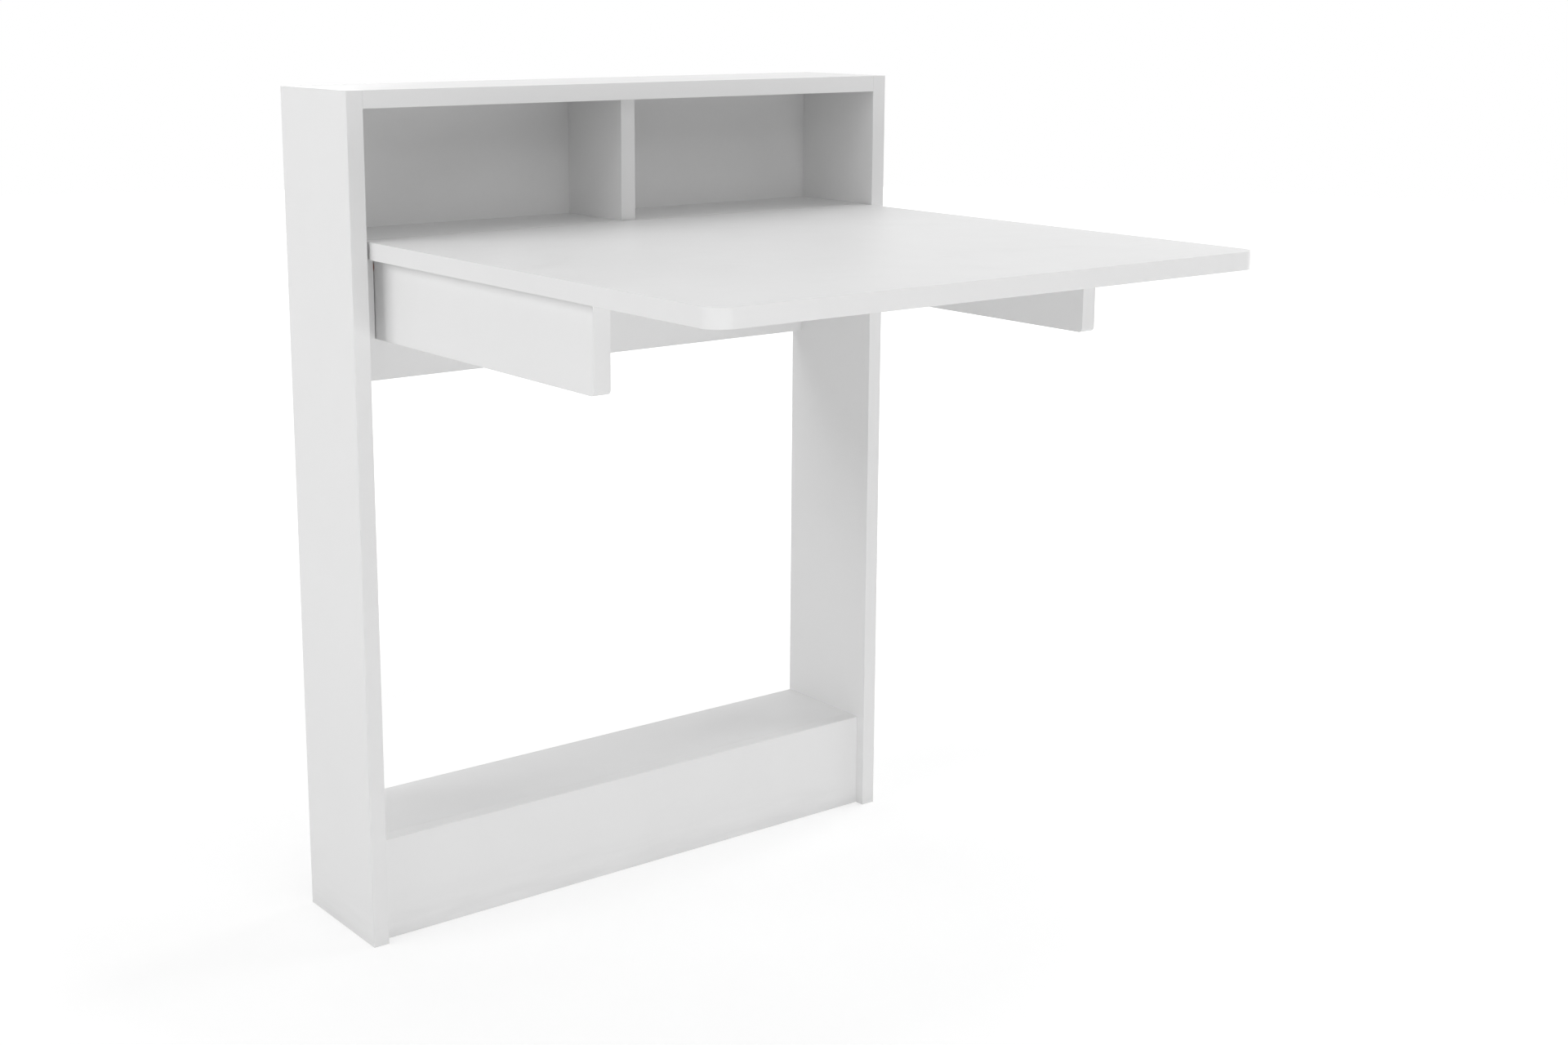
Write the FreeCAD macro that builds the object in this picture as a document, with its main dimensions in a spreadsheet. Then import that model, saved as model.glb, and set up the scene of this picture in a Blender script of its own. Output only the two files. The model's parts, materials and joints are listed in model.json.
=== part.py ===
import FreeCAD, Part
import os
import re
import Sketcher

# Wall-mounted desk: a slim floor-standing frame with two niches, and a leaf on two arms that folds
# down into the frame. Frame of reference: x = 0 mid-width, y = 0 the wall, -y to the front, z = 0 the floor.

doc = FreeCAD.newDocument("wall_desk")
sheet = doc.addObject("Spreadsheet::Sheet", "sizes")

driving = [
    # the frame and its boards
    ("width", 700), ("height", 900), ("depth", 146), ("board", 18),
    ("niche_height", 132), ("back_height", 298), ("plinth_height", 112), ("plinth_recess", 12),
    ("front_setback", 23), ("cleat_height", 84),
    # the leaf and its arms
    ("leaf_tip_gap", 5), ("leaf_side_gap", 3), ("leaf_rear_gap", 3), ("leaf_corner_radius", 20),
    ("arm_height", 84), ("arm_reach", 409), ("arm_gap", 1), ("arm_corner_radius", 5),
    # the fold axis below the shelf, the folded leaf's gap to the cleats, the arm's gap to the shelf
    ("axis_drop", 10), ("fold_clearance", 1), ("nose_clearance", 1),
    # fits
    ("overrun", 2), ("fit_gap", 0.1), ("running_gap", 0.05),
    # cam fittings in the board ends
    ("cam_radius", 7.5), ("cam_depth", 12.5), ("cam_reach", 34), ("cam_sink", 0.3),
    ("cam_bolt_radius", 3), ("cam_head_radius", 3.6), ("cam_head_length", 5),
    ("cam_thread_radius", 2.5), ("cam_thread_length", 11), ("cam_slot_radius", 1.2), ("cam_slot_depth", 2),
    # wooden dowels
    ("dowel_radius", 4), ("dowel_length", 30), ("dowel_sink", 12),
    # screws
    ("screw_radius", 1.75), ("screw_head_radius", 3.5), ("screw_head_height", 2.2),
    ("short_screw_length", 12), ("cleat_screw_radius", 2), ("cleat_screw_head_radius", 4),
    ("cleat_screw_head_height", 3), ("cleat_screw_length", 30),
    # wall fixing holes in the back panel
    ("wall_hole_radius", 2.75), ("wall_hole_spacing", 480), ("wall_hole_rise", 106),
    ("wall_sink_radius", 5.5), ("wall_sink_depth", 3),
    # pivot: bolt, insert, bush, washers and the steel plate on each arm
    ("pivot_radius", 4), ("insert_radius", 6), ("insert_length", 16), ("bush_wall", 2),
    ("pivot_head_radius", 7), ("pivot_head_height", 5), ("hex_socket_radius", 2.5), ("hex_socket_depth", 3),
    ("spring_washer_radius", 7.5), ("spring_washer_thickness", 1.5),
    ("plate_thickness", 3), ("plate_length", 84), ("plate_half_height", 8), ("plate_corner_radius", 7),
    # lock: a pull pin below the pivot, in a guide on the arm's inner face
    ("lock_drop", 54), ("lock_pin_radius", 4), ("lock_travel", 16), ("lock_tip_inset", 1),
    ("lock_hole_depth", 15), ("guide_thickness", 3), ("guide_half_width", 8), ("guide_half_height", 16),
    ("guide_sleeve_radius", 7), ("guide_sleeve_length", 12), ("guide_screw_pitch", 23),
    ("knob_radius", 8), ("knob_length", 14), ("knob_neck_radius", 5.5), ("knob_edge_radius", 2),
    ("knob_bore_depth", 9),
    # angle brackets between the leaf and each arm
    ("angle_leg", 25), ("angle_thickness", 2), ("angle_length", 40), ("angle_screw_pitch", 24),
    ("angle_screw_drop", 14), ("first_angle", 120), ("angle_spacing", 120),
]
# places along a board, as shares of its length
cam_place_shares = (0.22, 0.78)
dowel_place_shares = (-0.3, 0, 0.3)
divider_dowel_shares = (0.25, 0.65)
cleat_screw_shares = ((0.36, 0.5), (0.85, 0.25), (0.85, 0.75))
plate_screw_shares = (0.35, 0.6, 0.85)
# angle brackets on each arm
angle_count = 3

for row, (alias, value) in enumerate(driving, 1):
    sheet.set(f"A{row}", alias)
    sheet.set(f"B{row}", str(value))
    sheet.setAlias(f"B{row}", alias)
doc.recompute()

# Places that several pieces share, written in the sheet's names
inner_half = "(width / 2 - board)"
top_under = "(height - board)"
desk_height = "(height - board - niche_height)"
shelf_under = "(height - 2 * board - niche_height)"
set_back_y = "(front_setback - depth)"
shelf_depth = "(depth - board - front_setback)"
plinth_rear_y = "(plinth_recess + board - depth)"
bottom_depth = "(depth - plinth_recess - board)"
back_low = "(height - board - back_height)"
leaf_half = "(width / 2 - board - leaf_side_gap)"
leaf_rear_y = "(front_setback - leaf_rear_gap - depth)"
axis_y = "(front_setback + axis_drop - fold_clearance - depth)"
axis_z = "(height - 2 * board - niche_height - axis_drop)"
arm_outer = "(width / 2 - 2 * board - arm_gap)"
arm_inner = "(width / 2 - 3 * board - arm_gap)"
leaf_edge = "(axis_drop - fold_clearance + leaf_rear_gap)"
# the folded leaf hangs from the axis and clears the plinth
leaf_depth = f"({axis_z} - {leaf_edge} - plinth_height - leaf_tip_gap)"
nose_radius = "(axis_drop - nose_clearance)"
sides = (("left", -1), ("right", 1))
nodes = []
bores = {}
turns = {
    "+x": FreeCAD.Rotation(FreeCAD.Vector(0, 1, 0), 90), "-x": FreeCAD.Rotation(FreeCAD.Vector(0, 1, 0), -90),
    "+y": FreeCAD.Rotation(FreeCAD.Vector(1, 0, 0), -90), "-y": FreeCAD.Rotation(FreeCAD.Vector(1, 0, 0), 90),
    "+z": FreeCAD.Rotation(), "-z": FreeCAD.Rotation(FreeCAD.Vector(1, 0, 0), 180),
}


def formula(text):
    return re.sub(r"[a-z][a-z_]*", lambda word: "sizes." + word.group(), text)


def number(text):
    return float(sheet.evalExpression(formula(text)))


def bind(item, **lengths):
    for name, text in lengths.items():
        item.setExpression(name, formula(text))


def seat(item, place):
    for axis, text in zip("xyz", place):
        item.setExpression(f"Placement.Base.{axis}", formula(text))


def keep(item, label):
    item.Label = label
    nodes.append(item)
    return item


def box(size, place):
    item = doc.addObject("Part::Box", "slab")
    bind(item, Length=size[0], Width=size[1], Height=size[2])
    seat(item, place)
    return item


def rod(place, way, radius, length):
    item = doc.addObject("Part::Cylinder", "rod")
    item.Placement = FreeCAD.Placement(FreeCAD.Vector(), turns[way])
    bind(item, Radius=radius, Height=length)
    seat(item, place)
    return item


def cone(place, way, first_radius, last_radius, length):
    item = doc.addObject("Part::Cone", "cone")
    item.Placement = FreeCAD.Placement(FreeCAD.Vector(), turns[way])
    bind(item, Radius1=first_radius, Radius2=last_radius, Height=length)
    seat(item, place)
    return item


def shifted(place, way, length):
    # the place moved by a length along one of the six ways
    moved = list(place)
    at = "xyz".index(way[1])
    moved[at] = f"{place[at]} {way[0]} ({length})"
    return moved


def drill(board, mouth, way, radius, depth):
    # a bore that enters a board at its mouth, with the overrun outside it
    tool = rod(shifted(mouth, way, "-overrun"), way, radius, f"{depth} + overrun")
    bores.setdefault(board, []).append(tool)


def group(items):
    item = doc.addObject("Part::Compound", "group")
    item.Links = items
    return item


def joined(items):
    item = doc.addObject("Part::MultiFuse", "joined")
    item.Shapes = items
    return item


def cut(base, tools):
    item = doc.addObject("Part::Cut", "cut")
    item.Base = base
    item.Tool = tools[0] if len(tools) == 1 else group(tools)
    return item


def board_node(label, size, place):
    slab = box(size, place)
    return keep(cut(slab, bores[label]) if label in bores else slab, label)


def origin_plane(body, role):
    return next(plane for plane in body.Origin.OriginFeatures if plane.Role == role)


def outline(body, role, corners):
    # a closed polygon whose corners are bound to the sheet
    sketch = body.newObject("Sketcher::SketchObject", "outline")
    sketch.AttachmentSupport = [(origin_plane(body, role), "")]
    sketch.MapMode = "FlatFace"
    points = [FreeCAD.Vector(number(u), number(v), 0) for u, v in corners]
    count = len(points)
    for at, point in enumerate(points):
        sketch.addGeometry(Part.LineSegment(point, points[(at + 1) % count]))
    for at in range(count):
        sketch.addConstraint(Sketcher.Constraint("Coincident", at, 2, (at + 1) % count, 1))
    for at, corner in enumerate(corners):
        for kind, text in zip(("DistanceX", "DistanceY"), corner):
            row = sketch.addConstraint(Sketcher.Constraint(kind, -1, 1, at, 1, number(text)))
            sketch.setExpression(f"Constraints[{row}]", formula(text))
    return sketch


def circles(body, role, spots):
    # round outlines, each with its centre and radius bound to the sheet
    sketch = body.newObject("Sketcher::SketchObject", "rounds")
    sketch.AttachmentSupport = [(origin_plane(body, role), "")]
    sketch.MapMode = "FlatFace"
    for at, (u, v, radius) in enumerate(spots):
        centre = FreeCAD.Vector(number(u), number(v), 0)
        sketch.addGeometry(Part.Circle(centre, FreeCAD.Vector(0, 0, 1), number(radius)))
        for kind, text in (("DistanceX", u), ("DistanceY", v)):
            row = sketch.addConstraint(Sketcher.Constraint(kind, -1, 1, at, 3, number(text)))
            sketch.setExpression(f"Constraints[{row}]", formula(text))
        row = sketch.addConstraint(Sketcher.Constraint("Radius", at, number(radius)))
        sketch.setExpression(f"Constraints[{row}]", formula(radius))
    return sketch


def new_body(place):
    body = doc.addObject("PartDesign::Body", "piece")
    seat(body, place)
    return body


def pad(body, sketch, length, reverse=False):
    feature = body.newObject("PartDesign::Pad", "pad")
    feature.Profile = sketch
    feature.Reversed = reverse
    bind(feature, Length=length)
    doc.recompute()
    return feature


def pocket(body, sketch, depth, reverse=False):
    before = body.Shape.Volume
    feature = body.newObject("PartDesign::Pocket", "pocket")
    feature.Profile = sketch
    feature.Reversed = reverse
    bind(feature, Length=depth)
    doc.recompute()
    if not body.Shape.Volume < before:
        raise RuntimeError("a pocket cuts nothing")
    return feature


def revolve(body, sketch):
    # a turned piece: its outline lies beside the sketch's own first axis
    feature = body.newObject("PartDesign::Revolution", "turned")
    feature.Profile = sketch
    feature.ReferenceAxis = (sketch, ["H_Axis"])
    doc.recompute()
    return feature


def stands_on(edge, axes, spot):
    # whether an edge runs straight up from a corner of the outline
    return all(abs(getattr(vertex.Point, axis) - value) < number("fit_gap")
               for vertex in edge.Vertexes for axis, value in zip(axes, spot))


def round_corner(body, radius, axes, corners):
    base = body.Tip
    spots = [[number(text) for text in corner] for corner in corners]
    feature = body.newObject("PartDesign::Fillet", "rounding")
    feature.Base = (base, [f"Edge{at}" for at, edge in enumerate(base.Shape.Edges, 1)
                           if any(stands_on(edge, axes, spot) for spot in spots)])
    bind(feature, Radius=radius)
    doc.recompute()


# Cam fittings: each bolt screws into a side and its head lies in a cam let into the board's end
cam_locks = []
cam_bolts = []


def cam_joint(board, y, z, mouth, way):
    # the bolt's line is at y, z; the cam goes in at the mouth, along the way
    for name, side in sides:
        out, into = ("+x", "-x") if side > 0 else ("-x", "+x")
        end = (f"{side} * {inner_half}", y, z)
        centre = shifted(end, into, "cam_reach")
        entry = [centre[0], mouth[0] or centre[1], mouth[1] or centre[2]]
        drill(board, entry, way, "cam_radius + fit_gap", "cam_depth")
        drill(board, end, into, "cam_head_radius + fit_gap", "cam_reach + cam_head_length / 2 + fit_gap")
        drill(f"{name}_side", end, out, "cam_thread_radius + fit_gap", "cam_thread_length + fit_gap")
        cam = rod(shifted(entry, way, "cam_sink"), way, "cam_radius", "cam_depth - cam_sink - fit_gap")
        hollow = rod(shifted(end, into, "cam_reach - cam_radius - overrun"), into,
                     "cam_head_radius + fit_gap", "cam_radius + overrun + cam_head_length / 2 + fit_gap")
        slot = rod(entry, way, "cam_slot_radius", "cam_sink + cam_slot_depth")
        cam_locks.append(cut(cam, [hollow, slot]))
        cam_bolts.append(joined([
            rod(end, out, "cam_thread_radius", "cam_thread_length"),
            rod(end, into, "cam_bolt_radius", "cam_reach"),
            rod(shifted(end, into, "cam_reach - cam_head_length / 2"), into,
                "cam_head_radius", "cam_head_length"),
        ]))


for share in cam_place_shares:
    cam_joint("top_panel", f"-{share} * depth", f"{top_under} + board / 2", (None, top_under), "+z")
    cam_joint("shelf", f"-board - {share} * {shelf_depth}", f"{shelf_under} + board / 2",
              (None, shelf_under), "+z")
    cam_joint("bottom_board", f"-{share} * {bottom_depth}", "plinth_height - board / 2",
              (None, "plinth_height - board"), "+z")
    cam_joint("back_panel", "-board / 2", f"{back_low} + {share} * back_height", ("0", None), "-y")
cam_joint("plinth_front", f"{plinth_rear_y} - board / 2", "plinth_height / 2", (plinth_rear_y, None), "-y")
keep(group(cam_locks), "cam_locks")
keep(group(cam_bolts), "cam_bolts")

# Wooden dowels: a short end sunk in one board's face, the long end in the other board's edge
dowels = []


def dowel(face_board, edge_board, mouth, way):
    # the way runs from the joint into the board whose face is drilled
    back = {"+": "-", "-": "+"}[way[0]] + way[1]
    long_end = "dowel_length - dowel_sink"
    drill(face_board, mouth, way, "dowel_radius + fit_gap", "dowel_sink + fit_gap")
    drill(edge_board, mouth, back, "dowel_radius + fit_gap", f"{long_end} + fit_gap")
    dowels.append(rod(shifted(mouth, back, long_end), way, "dowel_radius", "dowel_length"))


for share in dowel_place_shares:
    across = f"{share} * 2 * {inner_half}"
    dowel("top_panel", "back_panel", (across, "-board / 2", top_under), "+z")
    dowel("back_panel", "shelf", (across, "-board", f"{shelf_under} + board / 2"), "+y")
    dowel("plinth_front", "bottom_board", (across, plinth_rear_y, "plinth_height - board / 2"), "-y")
for share in divider_dowel_shares:
    along = f"{set_back_y} + {share} * {shelf_depth}"
    dowel("top_panel", "divider", ("0", along, top_under), "+z")
    dowel("shelf", "divider", ("0", along, desk_height), "-z")
keep(group(dowels), "wood_dowels")

# Screws that hold each cleat to its side, sunk flush in the cleat's inner face
cleat_screws = []
for name, side in sides:
    out = "+x" if side > 0 else "-x"
    for along_share, up_share in cleat_screw_shares:
        head = (f"{side} * ({inner_half} - board)", f"{set_back_y} + {along_share} * {shelf_depth}",
                f"{shelf_under} - cleat_height + {up_share} * cleat_height")
        joint = shifted(head, out, "board")
        drill(f"{name}_cleat", head, out, "cleat_screw_radius + fit_gap", "board + overrun")
        drill(f"{name}_side", joint, out, "cleat_screw_radius + fit_gap",
              "cleat_screw_length - board + fit_gap")
        bores[f"{name}_cleat"].append(
            cone(head, out, "cleat_screw_head_radius + fit_gap", "cleat_screw_radius + fit_gap",
                 "cleat_screw_head_height"))
        cleat_screws.append(joined([
            cone(shifted(head, out, "fit_gap"), out, "cleat_screw_head_radius", "cleat_screw_radius",
                 "cleat_screw_head_height"),
            rod(shifted(head, out, "cleat_screw_head_height"), out, "cleat_screw_radius",
                "cleat_screw_length - cleat_screw_head_height"),
        ]))
keep(group(cleat_screws), "cleat_screws")

# Wall fixing holes, sunk on the room side of the back panel
for side in (-1, 1):
    spot = (f"{side} * wall_hole_spacing / 2", "-board", f"{back_low} + wall_hole_rise")
    drill("back_panel", spot, "+y", "wall_hole_radius", "board + overrun")
    bores["back_panel"].append(cone(spot, "+y", "wall_sink_radius", "wall_hole_radius", "wall_sink_depth"))

# Holes in the cleats: the pivot's insert, and the lock pin's hole for the open and the folded leaf
for name, side in sides:
    out = "+x" if side > 0 else "-x"
    face = f"{side} * ({inner_half} - board)"
    drill(f"{name}_cleat", (face, axis_y, axis_z), out, "insert_radius + fit_gap", "insert_length + fit_gap")
    for y, z in ((axis_y, f"{axis_z} - lock_drop"), (f"{axis_y} + lock_drop", axis_z)):
        drill(f"{name}_cleat", (face, y, z), out, "lock_pin_radius + fit_gap", "lock_hole_depth")

# The frame's boards
for name, side in sides:
    board_node(f"{name}_side", ("board", "depth", "height"),
               (f"{side} * (width / 2 - board / 2) - board / 2", "-depth", "0"))
    board_node(f"{name}_cleat", ("board", shelf_depth, "cleat_height"),
               (f"{side} * ({inner_half} - board / 2) - board / 2", set_back_y,
                f"{shelf_under} - cleat_height"))
inner_width = f"2 * {inner_half}"
board_node("top_panel", (inner_width, "depth", "board"), (f"-{inner_half}", "-depth", top_under))
board_node("back_panel", (inner_width, "board", "back_height"), (f"-{inner_half}", "-board", back_low))
board_node("shelf", (inner_width, shelf_depth, "board"), (f"-{inner_half}", set_back_y, shelf_under))
board_node("divider", ("board", shelf_depth, "niche_height"), ("-board / 2", set_back_y, desk_height))
board_node("bottom_board", (inner_width, bottom_depth, "board"),
           (f"-{inner_half}", plinth_rear_y, "plinth_height - board"))
board_node("plinth_front", (inner_width, "board", "plinth_height"),
           (f"-{inner_half}", "plinth_recess - depth", "0"))

# Pivots: an insert in each cleat takes a socket-head bolt that the arm turns on
inserts = []
spring_washers = []
friction_washers = []
for name, side in sides:
    out, into = ("+x", "-x") if side > 0 else ("-x", "+x")
    cleat_face = (f"{side} * ({inner_half} - board)", axis_y, axis_z)
    arm_face = (f"{side} * {arm_inner}", axis_y, axis_z)
    plate_face = shifted(arm_face, into, "plate_thickness")
    head_seat = shifted(plate_face, into, "spring_washer_thickness + 2 * running_gap")
    inserts.append(cut(
        rod(cleat_face, out, "insert_radius", "insert_length"),
        [rod(shifted(cleat_face, into, "overrun"), out, "pivot_radius + running_gap",
             "insert_length + 2 * overrun")]))
    friction_washers.append(cut(
        rod(shifted(cleat_face, into, "running_gap"), into, nose_radius, "arm_gap - 2 * running_gap"),
        [rod(shifted(cleat_face, out, "overrun"), into, "pivot_radius + running_gap",
             "arm_gap + 2 * overrun")]))
    spring_washers.append(cut(
        rod(shifted(plate_face, into, "running_gap"), into, "spring_washer_radius",
            "spring_washer_thickness"),
        [rod(shifted(plate_face, out, "overrun"), into, "pivot_radius + running_gap",
             "spring_washer_thickness + 2 * overrun")]))
    head_end = shifted(head_seat, into, "pivot_head_height")
    shank = ("insert_length + arm_gap + board + plate_thickness + spring_washer_thickness"
             " + 2 * running_gap - fit_gap")
    bolt = joined([rod(head_seat, into, "pivot_head_radius", "pivot_head_height"),
                   rod(shifted(head_seat, into, "fit_gap"), out, "pivot_radius", f"{shank} + fit_gap")])
    socket = rod(shifted(head_end, into, "overrun"), out, "hex_socket_radius", "hex_socket_depth + overrun")
    keep(cut(bolt, [socket]), f"{name}_pivot_bolt")
keep(group(inserts), "pivot_inserts")
keep(group(friction_washers), "friction_washers")
keep(group(spring_washers), "spring_washers")


def pan_screw(place, way):
    # a screw with a flat round head outside the place and its shank along the way
    back = {"+": "-", "-": "+"}[way[0]] + way[1]
    return joined([rod(place, back, "screw_head_radius", "screw_head_height"),
                   rod(shifted(place, back, "fit_gap"), way, "screw_radius", "short_screw_length + fit_gap")])


# The leaf: a board with rounded front corners
leaf = keep(new_body(("0", leaf_rear_y, shelf_under)), "desk_leaf")
pad(leaf, outline(leaf, "XY_Plane", (
    (f"-{leaf_half}", f"-{leaf_depth}"), (leaf_half, f"-{leaf_depth}"),
    (leaf_half, "0"), (f"-{leaf_half}", "0"),
)), "board")
leaf_corners = [(f"{side} * {leaf_half}", f"-{leaf_depth}") for name, side in sides]
round_corner(leaf, "leaf_corner_radius", "xy", leaf_corners)

# Screw places along an arm, measured forward from the fold axis
angle_middles = [f"(first_angle + {step} * angle_spacing)" for step in range(angle_count)]
angle_screw_lines = [f"({middle} {sign} angle_screw_pitch / 2)"
                     for middle in angle_middles for sign in "-+"]
plate_screw_lines = [f"({share} * plate_length - {nose_radius})" for share in plate_screw_shares]
screw_bore = "screw_radius + fit_gap"
screw_bore_depth = "short_screw_length + fit_gap"
leaf_spots = [(f"{side} * ({arm_inner} - angle_screw_drop)", f"{leaf_edge} - {line}",
               screw_bore) for name, side in sides for line in angle_screw_lines]
pocket(leaf, circles(leaf, "XY_Plane", leaf_spots), f"{screw_bore_depth} - angle_thickness", True)

# Arms, with their pivot plates, bushes, angle brackets, lock guides, pins and knobs
bushes = []
angle_screws = []
plate_screws = []
guide_screws = []
for name, side in sides:
    out, into = ("+x", "-x") if side > 0 else ("-x", "+x")
    inner = f"{side} * {arm_inner}"
    arm_low = "(axis_drop - arm_height)"
    arm = keep(new_body((inner, axis_y, axis_z)), f"{name}_arm")
    pad(arm, outline(arm, "YZ_Plane", (
        ("-arm_reach", "axis_drop"), ("-arm_reach", arm_low), (nose_radius, arm_low),
        (nose_radius, nose_radius), (f"-{leaf_edge}", nose_radius), (f"-{leaf_edge}", "axis_drop"),
    )), "board", side < 0)
    round_corner(arm, nose_radius, "yz", ((nose_radius, nose_radius),))
    round_corner(arm, "arm_corner_radius", "yz", (("-arm_reach", arm_low),))
    pocket(arm, circles(arm, "YZ_Plane", (
        ("0", "0", "pivot_radius + bush_wall + fit_gap"),
        ("0", "-lock_drop", "lock_pin_radius + fit_gap"))), "board + overrun", side > 0)
    guide_lines = [f"(-lock_drop {sign} guide_screw_pitch / 2)" for sign in "-+"]
    arm_spots = [(f"-{line}", "axis_drop - angle_screw_drop", screw_bore) for line in angle_screw_lines]
    arm_spots += [(f"-{line}", "0", screw_bore) for line in plate_screw_lines]
    arm_spots += [("0", line, screw_bore) for line in guide_lines]
    pocket(arm, circles(arm, "YZ_Plane", arm_spots), screw_bore_depth, side > 0)

    plate = keep(new_body((inner, axis_y, axis_z)), f"{name}_pivot_plate")
    pad(plate, outline(plate, "YZ_Plane", (
        (f"{nose_radius} - plate_length", "-plate_half_height"), ("plate_half_height", "-plate_half_height"),
        ("plate_half_height", "plate_half_height"), (f"{nose_radius} - plate_length", "plate_half_height"),
    )), "plate_thickness", side > 0)
    round_corner(plate, "plate_corner_radius", "yz", [("plate_half_height", f"{sign}plate_half_height")
                                                      for sign in ("-", "")])
    plate_spots = [("0", "0", "pivot_radius + running_gap")]
    plate_spots += [(f"-{line}", "0", screw_bore) for line in plate_screw_lines]
    pocket(plate, circles(plate, "YZ_Plane", plate_spots), "plate_thickness + overrun", side < 0)

    pivot = (f"{side} * {arm_outer}", axis_y, axis_z)
    bushes.append(cut(rod(pivot, into, "pivot_radius + bush_wall", "board"),
                      [rod(shifted(pivot, out, "overrun"), into, "pivot_radius + running_gap",
                           "board + 2 * overrun")]))
    plate_face = shifted((inner, axis_y, axis_z), into, "plate_thickness")
    for line in plate_screw_lines:
        plate_screws.append(pan_screw(shifted(plate_face, "-y", line), out))

    angles = []
    for middle in angle_middles:
        far = f"{side} * ({arm_inner} - angle_leg / 2)"
        near = f"{side} * ({arm_inner} - angle_thickness / 2)"
        start = f"{axis_y} - {middle} - angle_length / 2"
        flat = box(("angle_leg", "angle_length", "angle_thickness"),
                   (f"{far} - angle_leg / 2", start, f"{shelf_under} - angle_thickness"))
        upright = box(("angle_thickness", "angle_length", "angle_leg"),
                      (f"{near} - angle_thickness / 2", start, f"{shelf_under} - angle_leg"))
        holes = []
        for sign in "-+":
            line = f"({middle} {sign} angle_screw_pitch / 2)"
            up = (f"{side} * ({arm_inner} - angle_screw_drop)", f"{axis_y} - {line}",
                  f"{shelf_under} - angle_thickness")
            level = (f"{side} * ({arm_inner} - angle_thickness)", f"{axis_y} - {line}",
                     f"{shelf_under} - angle_screw_drop")
            for spot, way in ((up, "+z"), (level, out)):
                holes.append(rod(shifted(spot, way, "-overrun"), way, screw_bore,
                                 "angle_thickness + 2 * overrun"))
                angle_screws.append(pan_screw(spot, way))
        angles.append(cut(joined([flat, upright]), holes))
    keep(group(angles), f"{name}_arm_angles")

    guide = keep(new_body((inner, axis_y, f"{axis_z} - lock_drop")), f"{name}_lock_guide")
    pad(guide, outline(guide, "YZ_Plane", (
        ("-guide_half_width", "-guide_half_height"), ("guide_half_width", "-guide_half_height"),
        ("guide_half_width", "guide_half_height"), ("-guide_half_width", "guide_half_height"),
    )), "guide_thickness", side > 0)
    pad(guide, circles(guide, "YZ_Plane", (("0", "0", "guide_sleeve_radius"),)),
        "guide_thickness + guide_sleeve_length", side > 0)
    guide_spots = [("0", "0", "lock_pin_radius + running_gap")]
    guide_spots += [("0", f"{sign}guide_screw_pitch / 2", screw_bore) for sign in ("-", "")]
    pocket(guide, circles(guide, "YZ_Plane", guide_spots), "guide_thickness + guide_sleeve_length + overrun",
           side < 0)
    guide_face = shifted((inner, axis_y, f"{axis_z} - lock_drop"), into, "guide_thickness")
    for sign in "-+":
        guide_screws.append(pan_screw(shifted(guide_face, f"{sign}z", "guide_screw_pitch / 2"), out))

    # the pin stands drawn: its tip inside the arm, its knob one travel away from the sleeve
    tip = (f"{side} * ({arm_outer} - lock_tip_inset)", axis_y, f"{axis_z} - lock_drop")
    knob_gap = "(guide_thickness + guide_sleeve_length + lock_travel + running_gap)"
    pin_length = f"(board - lock_tip_inset + {knob_gap} + knob_bore_depth - fit_gap)"
    keep(rod(tip, into, "lock_pin_radius", pin_length), f"{name}_lock_pin")
    knob_seat = shifted((inner, axis_y, f"{axis_z} - lock_drop"), into, knob_gap)
    knob = keep(new_body(knob_seat), f"{name}_lock_knob")
    knob_sign = "-" if side > 0 else ""
    revolve(knob, outline(knob, "XY_Plane", (
        ("0", "lock_pin_radius + running_gap"), ("0", "knob_neck_radius"),
        (f"{knob_sign}knob_length / 2", "knob_neck_radius"), (f"{knob_sign}knob_length / 2", "knob_radius"),
        (f"{knob_sign}(knob_length - knob_edge_radius)", "knob_radius"),
        (f"{knob_sign}knob_length", "knob_radius - knob_edge_radius"), (f"{knob_sign}knob_length", "0"),
        (f"{knob_sign}knob_bore_depth", "0"),
        (f"{knob_sign}knob_bore_depth", "lock_pin_radius + running_gap"),
    )))
keep(group(bushes), "pivot_bushes")
keep(group(plate_screws), "plate_screws")
keep(group(angle_screws), "angle_screws")
keep(group(guide_screws), "guide_screws")

doc.recompute()
for item in doc.Objects:
    if {"Invalid", "Error"} & set(item.State):
        raise RuntimeError(f"{item.Label} failed: {item.State}")
os.makedirs("parts", exist_ok=True)
for node in nodes:
    if node.Shape.isNull() or not node.Shape.isValid():
        raise RuntimeError(f"{node.Label} has no valid shape")
    node.Shape.exportStep(f"parts/{node.Label}.step")
    print(node.Label, len(node.Shape.Solids), round(node.Shape.Volume))
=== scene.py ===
import json
import math

import bmesh
import bpy
from mathutils import Matrix, Vector


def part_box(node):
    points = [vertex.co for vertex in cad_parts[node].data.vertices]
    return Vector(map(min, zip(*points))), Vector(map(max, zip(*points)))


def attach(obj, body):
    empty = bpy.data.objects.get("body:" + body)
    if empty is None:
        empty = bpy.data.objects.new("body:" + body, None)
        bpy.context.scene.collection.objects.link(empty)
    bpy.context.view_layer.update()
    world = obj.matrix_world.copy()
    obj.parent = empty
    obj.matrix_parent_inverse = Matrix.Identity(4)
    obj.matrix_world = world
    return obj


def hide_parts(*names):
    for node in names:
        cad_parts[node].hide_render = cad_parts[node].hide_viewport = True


# Wall-mounted desk in white faced board: a slim frame with two niches, and a leaf on two arms.
# Metres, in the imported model's own frame: x = 0 mid-width, y = 0 the wall, z = 0 the floor.

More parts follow.
